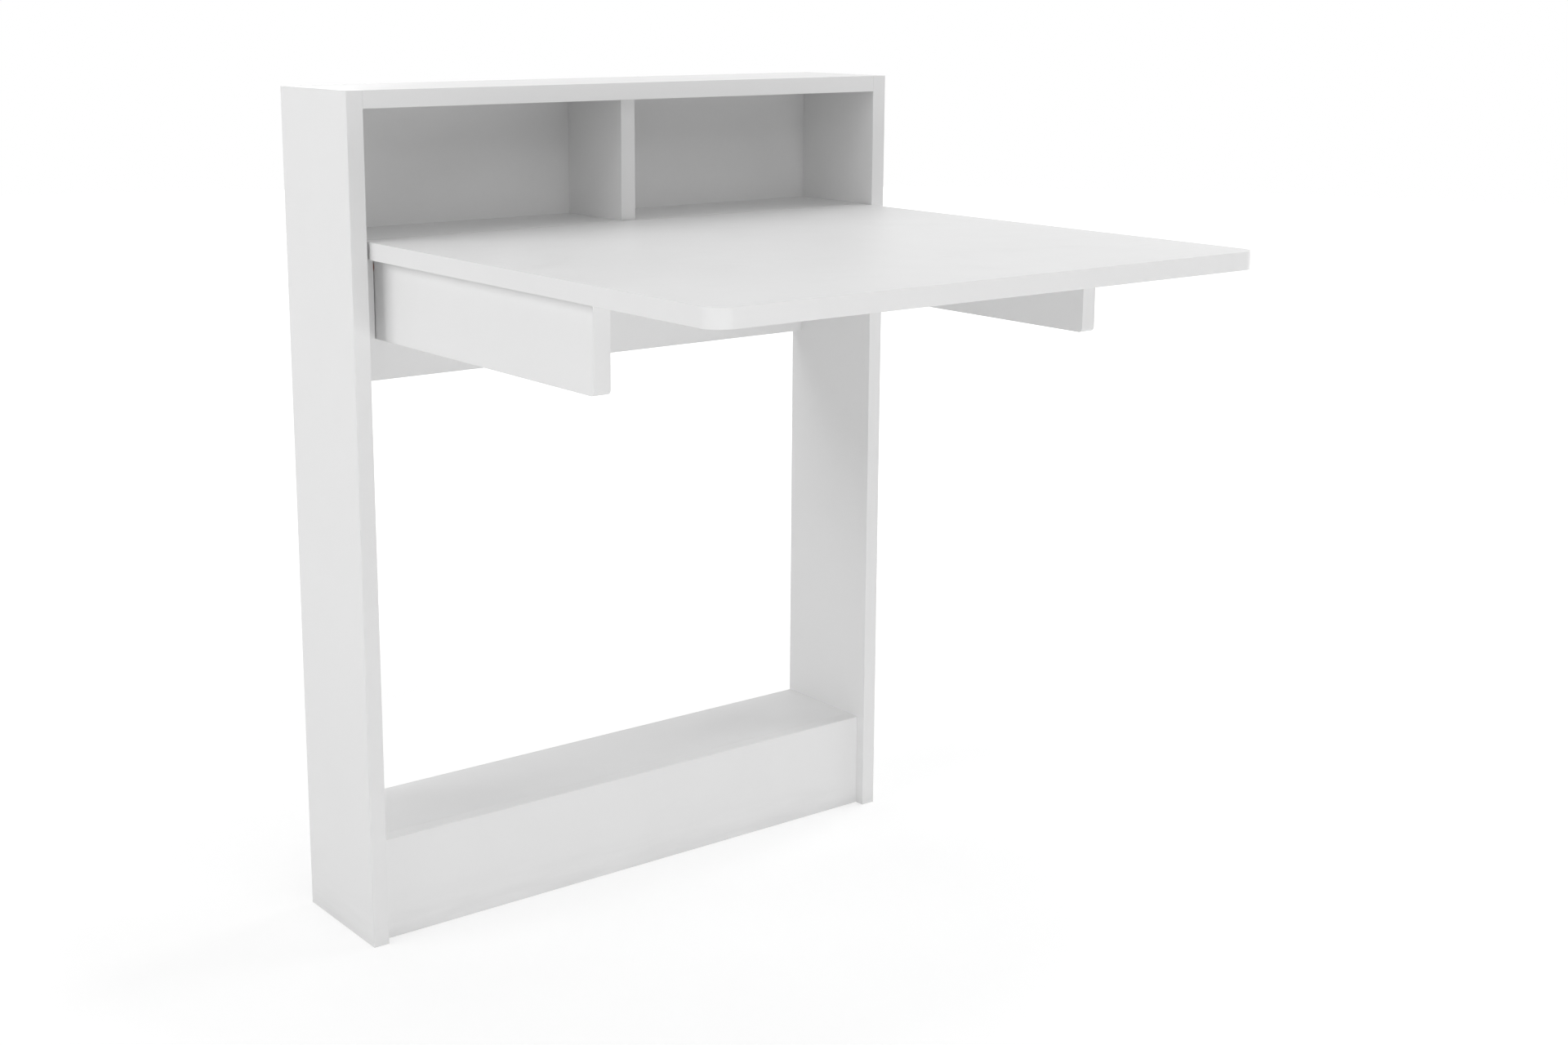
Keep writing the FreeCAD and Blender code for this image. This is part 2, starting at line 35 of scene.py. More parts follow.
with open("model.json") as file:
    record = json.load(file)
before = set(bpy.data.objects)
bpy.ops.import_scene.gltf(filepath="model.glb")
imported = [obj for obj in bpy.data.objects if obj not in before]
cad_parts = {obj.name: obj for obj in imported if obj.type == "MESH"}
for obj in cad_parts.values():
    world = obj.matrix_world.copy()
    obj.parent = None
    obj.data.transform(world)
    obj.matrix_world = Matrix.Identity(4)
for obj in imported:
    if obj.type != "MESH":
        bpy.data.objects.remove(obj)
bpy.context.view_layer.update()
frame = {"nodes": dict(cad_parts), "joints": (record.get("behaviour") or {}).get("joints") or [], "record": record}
mm = 0.001
nodes = frame["nodes"]
bodyOf = {node: body for body, members in frame["record"]["behaviour"]["bodies"].items() for node in members}
foldJoint = next(joint for joint in frame["joints"] if joint["name"] == "leaf_fold")
foldAxis = Vector(foldJoint["pos_m"])
wallScrews = next(mount for mount in frame["record"]["mounts"] if mount["name"] == "wall_screws")
sides = (("left", -1), ("right", 1))


# shader building

def put(tree, kind, inputs=None, **settings):
    node = tree.nodes.new(kind)
    for name, value in settings.items():
        setattr(node, name, value)
    for name, value in (inputs or {}).items():
        if isinstance(value, bpy.types.NodeSocket):
            tree.links.new(value, node.inputs[name])
        else:
            node.inputs[name].default_value = value
    return node


def sums(tree, operation, first, second=0.0, third=0.0, clamp=False):
    node = put(tree, "ShaderNodeMath", {0: first, 1: second, 2: third}, operation=operation, use_clamp=clamp)
    return node.outputs[0]


def ranged(tree, value, fromLow, fromHigh, toLow, toHigh):
    node = put(tree, "ShaderNodeMapRange", {"Value": value, "From Min": fromLow, "From Max": fromHigh,
                                            "To Min": toLow, "To Max": toHigh}, clamp=True)
    return node.outputs["Result"]


def tinted(tree, color, tone):
    # a plain colour, darkened by a grey tone
    grey = put(tree, "ShaderNodeCombineColor", {0: tone, 1: tone, 2: tone}).outputs[0]
    node = put(tree, "ShaderNodeMix", {"Factor": 1.0, "A": (*color, 1), "B": grey},
               data_type="RGBA", blend_type="MULTIPLY")
    return node.outputs[2]


def newGroup(name, inputs, outputs):
    group = bpy.data.node_groups.new(name, "ShaderNodeTree")
    for label, value in inputs.items():
        socket = group.interface.new_socket(label, in_out="INPUT", socket_type="NodeSocketFloat")
        socket.default_value = value
    for label in outputs:
        group.interface.new_socket(label, in_out="OUTPUT", socket_type="NodeSocketFloat")
    return group, group.nodes.new("NodeGroupInput").outputs, group.nodes.new("NodeGroupOutput").inputs


def useGroup(tree, group, **values):
    node = put(tree, "ShaderNodeGroup", node_tree=group)
    for name, value in values.items():
        node.inputs[name].default_value = value
    return node.outputs


def objectPoint(tree, stretch=None, turn=(0, 0, 0)):
    point = put(tree, "ShaderNodeTexCoord").outputs["Object"]
    if stretch is None:
        return point
    mapped = put(tree, "ShaderNodeMapping", {"Vector": point, "Scale": stretch, "Rotation": turn})
    return mapped.outputs["Vector"]


def noise(tree, point, scale, detail=2.0, roughness=0.5, distortion=0.0):
    node = put(tree, "ShaderNodeTexNoise", {"Vector": point, "Scale": scale, "Detail": detail,
                                            "Roughness": roughness, "Distortion": distortion})
    return node.outputs["Fac"]


def perSize(tree, size, perMetre=1 / mm):
    # texture scale for a grain size given in millimetres
    return sums(tree, "DIVIDE", perMetre, size)


def mean(tree, first, second):
    return sums(tree, "MULTIPLY", sums(tree, "ADD", first, second), 0.5)


def spread(tree, field, toLow, toHigh, noiseLow=0.3, noiseHigh=0.7):
    # most of a noise field lies between these two values
    return ranged(tree, field, noiseLow, noiseHigh, toLow, toHigh)


def seenDirectly(tree):
    # by the camera, or by way of a mirror or glass
    path = put(tree, "ShaderNodeLightPath").outputs
    return sums(tree, "MAXIMUM", path["Is Camera Ray"],
                sums(tree, "MAXIMUM", path["Is Glossy Ray"], path["Is Transmission Ray"]))


# the fine press-plate grain of faced board, with slow changes of tone and gloss
grainForm = {"pitsPerMetre": 2700.0, "pitShare": 0.35, "slowScale": 5.0, "patchScale": 21.0}
pressGrain, given, result = newGroup("pressGrain", {"Size": 1.0, "Unevenness": 0.02, "GlossSpread": 0.05},
                                     ("Height", "Tone", "Gloss"))
tree = pressGrain
point = objectPoint(tree)
pearl = noise(tree, point, perSize(tree, given["Size"]), detail=3.0, roughness=0.6)
pits = noise(tree, point, perSize(tree, given["Size"], grainForm["pitsPerMetre"]), detail=1.0)
tree.links.new(sums(tree, "MULTIPLY_ADD", pits, grainForm["pitShare"], pearl), result["Height"])
slow = spread(tree, noise(tree, point, grainForm["slowScale"], detail=3.0, roughness=0.55), 0.0, 1.0)
tree.links.new(sums(tree, "SUBTRACT", 1.0, sums(tree, "MULTIPLY", slow, given["Unevenness"])), result["Tone"])
patch = spread(tree, noise(tree, point, grainForm["patchScale"], detail=4.0, roughness=0.6), -1.0, 1.0)
tree.links.new(sums(tree, "MULTIPLY", patch, given["GlossSpread"]), result["Gloss"])

# hairlines from things pushed about on a surface: each run has a turn and a stretch
scratchForm = {"runs": ((0.35, (9, 520, 9)), (-0.8, (6, 430, 6)), (1.3, (11, 610, 11))),
               "level": 0.675, "halfWidth": 0.02, "placeScale": 3.5, "placeSpan": (0.45, 0.65)}
hairScratches, given, result = newGroup("hairScratches", {"Amount": 0.5}, ("Mask",))
tree = hairScratches
level, halfWidth = scratchForm["level"], scratchForm["halfWidth"]
lines = []
for turn, stretch in scratchForm["runs"]:
    point = objectPoint(tree, stretch, (0, 0, turn))
    field = noise(tree, point, 1.0, detail=1.0, roughness=0.4, distortion=0.15)
    rise = ranged(tree, field, level - halfWidth, level, 0.0, 1.0)
    fall = ranged(tree, field, level, level + halfWidth, 1.0, 0.0)
    lines.append(sums(tree, "MULTIPLY", rise, fall))
places = noise(tree, objectPoint(tree), scratchForm["placeScale"])
places = ranged(tree, places, *scratchForm["placeSpan"], 0.0, 1.0)
every = sums(tree, "ADD", sums(tree, "ADD", lines[0], lines[1]), lines[2], clamp=True)
tree.links.new(sums(tree, "MULTIPLY", sums(tree, "MULTIPLY", every, places), given["Amount"]), result["Mask"])

# faint matt smudges where hands take hold
handForm = {"blotScale": 8.0, "blotSpan": (0.52, 0.68), "ridgeScale": 90.0, "ridgeSpan": (0.35, 0.65),
            "ridgeLeast": 0.4}
handMarks, given, result = newGroup("handMarks", {"Amount": 0.5}, ("Mask",))
tree = handMarks
blots = noise(tree, objectPoint(tree), handForm["blotScale"], detail=4.0, roughness=0.62, distortion=0.5)
blots = ranged(tree, blots, *handForm["blotSpan"], 0.0, 1.0)
ridges = noise(tree, objectPoint(tree), handForm["ridgeScale"], detail=3.0)
ridges = ranged(tree, ridges, *handForm["ridgeSpan"], handForm["ridgeLeast"], 1.0)
tree.links.new(sums(tree, "MULTIPLY", sums(tree, "MULTIPLY", blots, ridges), given["Amount"]), result["Mask"])

# scuffs and dust that gather just above the floor
scuffForm = {"stretch": (7, 7, 60), "span": (0.4, 0.72), "least": 0.1, "fall": 2.0}
floorScuffs, given, result = newGroup("floorScuffs", {"Reach": 0.06, "Amount": 0.5}, ("Mask",))
tree = floorScuffs
height = put(tree, "ShaderNodeSeparateXYZ", {"Vector": objectPoint(tree)}).outputs["Z"]
low = sums(tree, "SUBTRACT", 1.0, sums(tree, "DIVIDE", height, given["Reach"]), clamp=True)
streaks = noise(tree, objectPoint(tree, scuffForm["stretch"]), 1.0, detail=4.0, roughness=0.6, distortion=0.4)
streaks = ranged(tree, streaks, *scuffForm["span"], scuffForm["least"], 1.0)
faded = sums(tree, "MULTIPLY", sums(tree, "POWER", low, scuffForm["fall"]), streaks)
tree.links.new(sums(tree, "MULTIPLY", faded, given["Amount"]), result["Mask"])

# fine lines and specks of plated, turned or drawn metal
metalForm = {"drawnStretch": (260, 2600, 2600), "cloudScale": 70.0}
metalGrain, given, result = newGroup("metalGrain", {"Size": 0.4, "Contrast": 0.1},
                                     ("Tone", "Gloss", "Height"))
tree = metalGrain
fine = noise(tree, objectPoint(tree), perSize(tree, given["Size"]), detail=4.0, roughness=0.65)
drawn = noise(tree, objectPoint(tree, metalForm["drawnStretch"]), 1.0, detail=3.0, roughness=0.6)
cloud = noise(tree, objectPoint(tree), metalForm["cloudScale"], detail=3.0, roughness=0.6, distortion=0.6)
depth = sums(tree, "MULTIPLY", spread(tree, mean(tree, fine, cloud), 0.0, 1.0), given["Contrast"])
tree.links.new(sums(tree, "SUBTRACT", 1.0, depth), result["Tone"])
tree.links.new(sums(tree, "MULTIPLY", spread(tree, cloud, -1.0, 1.0), given["Contrast"]), result["Gloss"])
tree.links.new(mean(tree, fine, drawn), result["Height"])

# pressed chips or wood fibre, in cells of light and dark
fibreForm = {"cellStretch": (1, 1.6, 2.6), "strandStretch": (160, 1300, 1300)}
fibreCells, given, result = newGroup("fibreCells", {"Size": 1.5, "Contrast": 0.4}, ("Tone", "Height"))
tree = fibreCells
cells = put(tree, "ShaderNodeTexVoronoi", {"Vector": objectPoint(tree, fibreForm["cellStretch"]),
                                          "Scale": perSize(tree, given["Size"])})
grey = put(tree, "ShaderNodeSeparateColor", {"Color": cells.outputs["Color"]}).outputs[0]
strands = noise(tree, objectPoint(tree, fibreForm["strandStretch"]), 1.0, detail=4.0, roughness=0.6)
depth = sums(tree, "MULTIPLY", mean(tree, grey, strands), given["Contrast"])
tree.links.new(sums(tree, "SUBTRACT", 1.0, depth), result["Tone"])
tree.links.new(sums(tree, "ADD", cells.outputs["Distance"], strands), result["Height"])


def startMaterial(name):
    material = bpy.data.materials.new(name)
    material.use_nodes = True
    return material, material.node_tree, material.node_tree.nodes["Principled BSDF"]


def bumpOn(tree, shader, height, strength, distance):
    bump = put(tree, "ShaderNodeBump", {"Height": height, "Strength": strength, "Distance": distance})
    tree.links.new(bump.outputs["Normal"], shader.inputs["Normal"])


bumpDepth = {"board": 0.05 * mm, "fibre": 0.2 * mm, "metal": 0.03 * mm}
# what each kind of wear adds to the roughness, and takes from the tone
wearKinds = {"hands": {"group": handMarks, "matt": 0.14, "darken": 0.02},
             "scratches": {"group": hairScratches, "matt": 0.2, "darken": 0.05},
             "scuffs": {"group": floorScuffs, "matt": 0.2, "darken": 0.16}}


def boardMaterial(name, look):
    material, tree, shader = startMaterial(name)
    grain = useGroup(tree, pressGrain, Size=look["grain"], Unevenness=look["unevenness"],
                     GlossSpread=look["glossSpread"])
    tone, gloss = grain["Tone"], sums(tree, "ADD", grain["Gloss"], look["roughness"])
    for kind, wear in wearKinds.items():
        if kind in look:
            mask = useGroup(tree, wear["group"], **look[kind])["Mask"]
            gloss = sums(tree, "MULTIPLY_ADD", mask, wear["matt"], gloss)
            tone = sums(tree, "MULTIPLY_ADD", mask, -wear["darken"], tone)
    tree.links.new(tinted(tree, look["color"], tone), shader.inputs["Base Color"])
    tree.links.new(gloss, shader.inputs["Roughness"])
    shader.inputs["Specular IOR Level"].default_value = look["specular"]
    bumpOn(tree, shader, grain["Height"], look["bump"], bumpDepth["board"])
    return material


faceLook = {"color": (0.79, 0.79, 0.79), "grain": 0.9, "unevenness": 0.012, "glossSpread": 0.04,
            "roughness": 0.46, "specular": 0.4, "bump": 0.22,
            "hands": {"Amount": 0.35}, "scratches": {"Amount": 0.12}}
deskLook = {**faceLook, "roughness": 0.42, "hands": {"Amount": 0.6}, "scratches": {"Amount": 0.55}}
footLook = {**faceLook, "scuffs": {"Amount": 0.55, "Reach": 0.07}}
bandLook = {"color": (0.77, 0.77, 0.77), "grain": 0.45, "unevenness": 0.02, "glossSpread": 0.05,
            "roughness": 0.38, "specular": 0.45, "bump": 0.15,
            "hands": {"Amount": 0.3}, "scuffs": {"Amount": 0.5, "Reach": 0.05}}
faceWhite = boardMaterial("faceWhite", faceLook)
deskWhite = boardMaterial("deskWhite", deskLook)
footWhite = boardMaterial("footWhite", footLook)
bandWhite = boardMaterial("bandWhite", bandLook)


fibreGloss = {"darkTone": 0.4, "darkMatt": 0.1, "paleMatt": -0.05}


def fibreMaterial(name, look):
    material, tree, shader = startMaterial(name)
    cells = useGroup(tree, fibreCells, Size=look["size"], Contrast=look["contrast"])
    tree.links.new(tinted(tree, look["color"], cells["Tone"]), shader.inputs["Base Color"])
    rough = ranged(tree, cells["Tone"], fibreGloss["darkTone"], 1.0,
                   look["roughness"] + fibreGloss["darkMatt"], look["roughness"] + fibreGloss["paleMatt"])
    tree.links.new(rough, shader.inputs["Roughness"])
    bumpOn(tree, shader, cells["Height"], look["bump"], bumpDepth["fibre"])
    return material


def metalMaterial(name, look):
    material, tree, shader = startMaterial(name)
    grain = useGroup(tree, metalGrain, Size=look["size"], Contrast=look["contrast"])
    tree.links.new(tinted(tree, look["color"], grain["Tone"]), shader.inputs["Base Color"])
    tree.links.new(sums(tree, "ADD", grain["Gloss"], look["roughness"]), shader.inputs["Roughness"])
    shader.inputs["Metallic"].default_value = look["metallic"]
    bumpOn(tree, shader, grain["Height"], look["bump"], bumpDepth["metal"])
    return material


rawChip = fibreMaterial("rawChip", {"color": (0.55, 0.4, 0.25), "size": 1.8, "contrast": 0.6,
                                    "roughness": 0.85, "bump": 0.6})
beechWood = fibreMaterial("beechWood", {"color": (0.62, 0.42, 0.25), "size": 0.7, "contrast": 0.35,
                                        "roughness": 0.6, "bump": 0.3})
redFibre = fibreMaterial("redFibre", {"color": (0.2, 0.075, 0.045), "size": 0.3, "contrast": 0.3,
                                      "roughness": 0.7, "bump": 0.25})
brightZinc = metalMaterial("brightZinc", {"color": (0.66, 0.67, 0.68), "size": 0.5, "contrast": 0.16,
                                          "roughness": 0.34, "metallic": 1.0, "bump": 0.25})
drawnSteel = metalMaterial("drawnSteel", {"color": (0.56, 0.56, 0.57), "size": 0.25, "contrast": 0.12,
                                          "roughness": 0.26, "metallic": 1.0, "bump": 0.2})
turnedBrass = metalMaterial("turnedBrass", {"color": (0.72, 0.52, 0.24), "size": 0.3, "contrast": 0.14,
                                            "roughness": 0.3, "metallic": 1.0, "bump": 0.2})
blackMould = metalMaterial("blackMould", {"color": (0.03, 0.03, 0.032), "size": 0.35, "contrast": 0.2,
                                          "roughness": 0.5, "metallic": 0.0, "bump": 0.6})
print("materials:", len(bpy.data.materials), "with", len(bpy.data.node_groups), "shared groups")


# mesh building

# edges turned by more than this stay sharp, in degrees
sharpEdges = {"board": 32, "fitting": 35, "moulded": 40}


def meshPiece(name, bm, materials=()):
    mesh = bpy.data.meshes.new(name)
    bm.to_mesh(mesh)
    bm.free()
    for material in materials:
        mesh.materials.append(material)
    piece = bpy.data.objects.new(name, mesh)
    bpy.context.scene.collection.objects.link(piece)
    return piece


def dressPiece(piece, node, replaced, sharpAngle):
    piece.data.polygons.foreach_set("use_smooth", [True] * len(piece.data.polygons))
    piece.data.set_sharp_from_angle(angle=math.radians(sharpAngle))
    weighted = piece.modifiers.new("flatFaces", "WEIGHTED_NORMAL")
    weighted.keep_sharp = True
    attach(piece, bodyOf[node])
    if replaced:
        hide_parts(*replaced)


def finishPiece(name, bm, material, node, replaced=(), sharpAngle=sharpEdges["board"]):
    dressPiece(meshPiece(name, bm, [material]), node, replaced, sharpAngle)


def addBlock(bm, low, high, rounding, segments, outer=None, innerRounding=None):
    # outer is the (axis, side) of the face whose rim takes the rounding; without it every edge does
    middle, size = (low + high) / 2, high - low
    made = bmesh.ops.create_cube(bm, size=1, matrix=Matrix.Translation(middle) @ Matrix.Diagonal((*size, 1)))
    edges = list(dict.fromkeys(edge for vert in made["verts"] for edge in vert.link_edges))

    def rimOf(axis, side):
        return [edge for edge in edges if all((vert.co[axis] - middle[axis]) * side > 0 for vert in edge.verts)]

    rims = [(edges, rounding, segments)]
    if outer:
        axis, side = outer
        rims = [(rimOf(axis, side), rounding, segments), (rimOf(axis, -side), innerRounding, 1)]
    for rim, offset, count in rims:
        bmesh.ops.bevel(bm, geom=rim, offset=offset, segments=count, profile=0.5, affect="EDGES")


def turnTo(direction):
    return Vector((0, 0, 1)).rotation_difference(Vector(direction)).to_matrix().to_4x4()


def placed(spot, direction):
    return Matrix.Translation(spot) @ turnTo(direction)


def addTurned(bm, profile, matrix=Matrix(), segments=40, flutes=0, fluteDepth=0.0, fluted=()):
    # a closed turned shape from (radius, height) pairs that start and end on the axis
    rings = []
    for index, (radius, height) in enumerate(profile):
        if radius == 0:
            rings.append([bm.verts.new(matrix @ Vector((0, 0, height)))])
            continue
        ring = []
        for step in range(segments):
            angle = 2 * math.pi * step / segments
            dip = fluteDepth * (0.5 - 0.5 * math.cos(flutes * angle)) if index in fluted else 0.0
            reach = radius - dip
            corner = Vector((reach * math.cos(angle), reach * math.sin(angle), height))
            ring.append(bm.verts.new(matrix @ corner))
        rings.append(ring)
    for first, second in zip(rings, rings[1:]):
        for step in range(segments):
            after = (step + 1) % segments
            corners = [first[step % len(first)], first[after % len(first)], second[after % len(second)],
                       second[step % len(second)]]
            face = list(dict.fromkeys(corners))
            if len(face) > 2:
                bm.faces.new(face)
    bmesh.ops.recalc_face_normals(bm, faces=bm.faces)


def plainBore(radius, start, end):
    return [(0, start), (radius, start), (radius, end), (0, end)]


def addWalls(bm, loops, closed):
    # joins each loop to the next, and the last to the first where closed
    for first, second in zip(loops, loops[1:] + loops[:1] if closed else loops[1:]):
        for step in range(len(first)):
            after = (step + 1) % len(first)
            bm.faces.new((first[step], first[after], second[after], second[step]))


def addRing(bm, profile, matrix, segments=40):
    # a turned ring from a closed loop of (radius, height) pairs
    turns = [2 * math.pi * step / segments for step in range(segments)]
    rings = [[bm.verts.new(matrix @ Vector((radius * math.cos(turn), radius * math.sin(turn), height)))
              for turn in turns] for radius, height in profile]
    addWalls(bm, rings, True)
    bmesh.ops.recalc_face_normals(bm, faces=bm.faces)


def shifted(points, inset):
    # a closed counter-clockwise outline moved inward, with mitred corners
    moved = []
    for index, here in enumerate(points):
        before, after = points[index - 1], points[(index + 1) % len(points)]
        first, second = (here - before).normalized(), (after - here).normalized()
        firstIn, secondIn = Vector((-first.y, first.x)), Vector((-second.y, second.x))
        moved.append(here + (firstIn + secondIn) * (inset / (1 + firstIn.dot(secondIn))))
    return moved


def arc(middle, radius, startAngle, endAngle, steps):
    turns = [math.radians(startAngle + (endAngle - startAngle) * step / steps) for step in range(steps + 1)]
    return [middle + radius * Vector((math.cos(turn), math.sin(turn))) for turn in turns]


def roundedPlate(low, high, frontRadius, rearRadius, frontSteps, rearSteps):
    # the outline in y and z of an upright plate with rounded corners
    outline = arc(Vector((low.y + frontRadius, low.z + frontRadius)), frontRadius, 180, 270, frontSteps)
    outline += arc(Vector((high.y - rearRadius, low.z + rearRadius)), rearRadius, 270, 360, rearSteps)
    outline += arc(Vector((high.y - rearRadius, high.z - rearRadius)), rearRadius, 0, 90, rearSteps)
    outline += arc(Vector((low.y + frontRadius, high.z - frontRadius)), frontRadius, 90, 180, frontSteps)
    return outline


def addLoops(bm, outlines, toSpace, capped):
    # outlines are (points, depth) pairs: walls join neighbours, and the ends are capped or joined to each other
    loops = [[bm.verts.new(toSpace(point, depth)) for point in points] for points, depth in outlines]
    addWalls(bm, loops, not capped)
    if capped:
        bm.faces.new(loops[0][::-1])
        bm.faces.new(loops[-1])
    bmesh.ops.recalc_face_normals(bm, faces=bm.faces)


def upright(start, way=1):
    # puts an outline in y and z at a given x, with its depth along x
    return lambda point, depth: Vector((start + way * depth, point.x, point.y))


def roundedRims(outline, thickness, rounding, steps):
    # outlines of a plate whose two rims are rounded over
    turns = [math.radians(90 * step / steps) for step in range(steps + 1)]
    low = [(shifted(outline, rounding * (1 - math.sin(turn))), rounding * (1 - math.cos(turn)))
           for turn in turns]
    high = [(points, thickness - depth) for points, depth in low[::-1]]
    return low + high


def cutAway(piece, addTools, material=None):
    # takes the tools' shapes out of a piece, and gives the new walls a material
    bm = bmesh.new()
    addTools(bm)
    tool = meshPiece("tool", bm, [material] if material else ())
    toolMesh = tool.data
    modifier = piece.modifiers.new("bores", "BOOLEAN")
    modifier.operation = "DIFFERENCE"
    modifier.solver = "EXACT"
    modifier.material_mode = "TRANSFER"
    modifier.object = tool
    made = bpy.data.meshes.new_from_object(piece.evaluated_get(bpy.context.evaluated_depsgraph_get()))
    made.name = piece.name
    piece.modifiers.remove(modifier)
    piece.data = made
    bpy.data.objects.remove(tool)
    bpy.data.meshes.remove(toolMesh)


# where the CAD's own fittings sit

sameSpot = 0.001 * mm   # corners this near each other are one


def solidsOf(node):
    bm = bmesh.new()
    bm.from_mesh(nodes[node].data)
    bmesh.ops.remove_doubles(bm, verts=bm.verts, dist=sameSpot)
    waiting = set(bm.verts)
    solids = []
    for seed in bm.verts:
        if seed not in waiting:
            continue
        waiting.remove(seed)
        reached, points = [seed], []
        while reached:
            vert = reached.pop()
            points.append(vert.co.copy())
            for edge in vert.link_edges:
                other = edge.other_vert(vert)
                if other in waiting:
                    waiting.remove(other)
                    reached.append(other)
        solids.append(points)
    bm.free()
    return solids


def extent(points):
    return Vector(map(min, *points)), Vector(map(max, *points))


sameEnd = 0.05 * mm     # points this near an end of a solid lie on it
headStep = 0.2 * mm     # a head is wider than its shank by more than this


def spotsOf(node, alongLongest=True, hollowMouth=False):
    # for each solid: the middle of its outer end, the way out of it, and its sizes
    spots = []
    for points in solidsOf(node):
        low, high = extent(points)
        sizes = list(high - low)
        axis = sizes.index(max(sizes) if alongLongest else min(sizes))
        middle = (low + high) / 2

        def reach(point):
            return math.hypot(*[point[other] - middle[other] for other in range(3) if other != axis])

        ends = [[reach(point) for point in points if abs(point[axis] - end[axis]) < sameEnd]
                for end in (low, high)]
        scores = [-min(end) if hollowMouth else max(end) for end in ends]
        side = 1 if scores[1] > scores[0] else -1
        mouth = middle.copy()
        mouth[axis] = (high if side > 0 else low)[axis]
        out = Vector((0, 0, 0))
        out[axis] = side
        headRadius, shankRadius = max(ends[side > 0]), max(ends[side < 0])
        wide = [abs(mouth[axis] - point[axis]) for point in points if reach(point) > shankRadius + headStep]
        spots.append({"mouth": mouth, "out": out, "length": sizes[axis], "headRadius": headRadius,
                      "shankRadius": shankRadius, "headHeight": max(wide, default=sizes[axis])})
    return sorted(spots, key=lambda spot: [round(value, 4) for value in spot["mouth"]])


camSpots = spotsOf("cam_locks", alongLongest=False, hollowMouth=True)
bores = {}
overrun = 1 * mm        # how far every cut runs past the face


def addBore(node, mouth, inward, profile):
    bores.setdefault(node, []).append((Vector(mouth), Vector(inward), profile))


def within(point, node, slack=1 * mm):
    low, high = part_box(node)
    return all(low[axis] - slack <= point[axis] <= high[axis] + slack for axis in range(3))


camFit = {"clearance": 0.1 * mm,
          "holders": ("top_panel", "back_panel", "shelf", "bottom_board", "plinth_front")}
for spot in camSpots:
    holder = next(node for node in camFit["holders"] if within(spot["mouth"], node))
    radius, depth = spot["headRadius"] + camFit["clearance"], spot["length"] + camFit["clearance"]
    addBore(holder, spot["mouth"], -spot["out"], plainBore(radius, -overrun, depth))

wallHole = {"sinkRadius": 5.5 * mm, "sinkDepth": 3 * mm}
holeRadius = wallScrews["dims"]["hole_r_mm"] * mm
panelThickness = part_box("back_panel")[1].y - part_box("back_panel")[0].y
for side in (-0.5, 0.5):
    away = side * wallScrews["dims"]["spacing_x_mm"] * mm
    addBore("back_panel", Vector(wallScrews["pos_m"]) + Vector((away, -panelThickness, 0)), (0, 1, 0),
            [(0, -overrun), (wallHole["sinkRadius"] + overrun, -overrun), (wallHole["sinkRadius"], 0),
             (holeRadius, wallHole["sinkDepth"]), (holeRadius, panelThickness + overrun),
             (0, panelThickness + overrun)])


def roundFit(node, clearance=0.0):
    # the radius of a round piece that lies along x
    low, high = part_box(node)
    return (high.z - low.z) / 2 + clearance


# pivot and lock bores run along x through each arm and into its cleat
lockFit = {"clearance": 0.15 * mm, "depth": 15 * mm}
bushRadius = roundFit("pivot_bushes", lockFit["clearance"])
insertRadius = roundFit("pivot_inserts")
for name, side in sides:
    pinLow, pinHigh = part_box(f"{name}_lock_pin")
    pinRadius = roundFit(f"{name}_lock_pin", lockFit["clearance"])
    lockOpen = Vector((0, (pinLow.y + pinHigh.y) / 2, (pinLow.z + pinHigh.z) / 2))
    fold = Matrix.Rotation(math.radians(foldJoint["range_deg"][1]), 3, foldJoint["axis"])
    lockFolded = foldAxis + fold @ (lockOpen - foldAxis)
    armLow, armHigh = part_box(f"{name}_arm")
    cleatLow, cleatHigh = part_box(f"{name}_cleat")
    armFace, cleatFace = (armHigh.x, cleatHigh.x) if side < 0 else (armLow.x, cleatLow.x)
    armThickness = armHigh.x - armLow.x
    for middle, radius in ((foldAxis, bushRadius), (lockOpen, pinRadius)):
        addBore(f"{name}_arm", (armFace, middle.y, middle.z), (side, 0, 0),
                plainBore(radius, -overrun, armThickness + overrun))
    for middle, radius in ((foldAxis, insertRadius), (lockOpen, pinRadius), (lockFolded, pinRadius)):
        addBore(f"{name}_cleat", (cleatFace, middle.y, middle.z), (side, 0, 0),
                plainBore(radius, -overrun, lockFit["depth"]))


def cutBores(piece, node):
    def addTools(bm):
        for mouth, inward, profile in bores[node]:
            addTurned(bm, profile, placed(mouth, inward))
    if node in bores:
        cutAway(piece, addTools, rawChip)


# boards: a faced core, and glued edge bands that leave a hairline joint
banding = {"thickness": 1.0 * mm, "rounding": 0.3 * mm, "roundingSteps": 3, "seam": 0.12 * mm}
ways = {"-x": (0, -1), "+x": (0, 1), "-y": (1, -1), "+y": (1, 1), "-z": (2, -1), "+z": (2, 1)}
squareOn = 0.9          # a face whose normal reaches this far along a way looks that way


def camel(node):
    first, *others = node.split("_")
    return first + "".join(word.capitalize() for word in others)


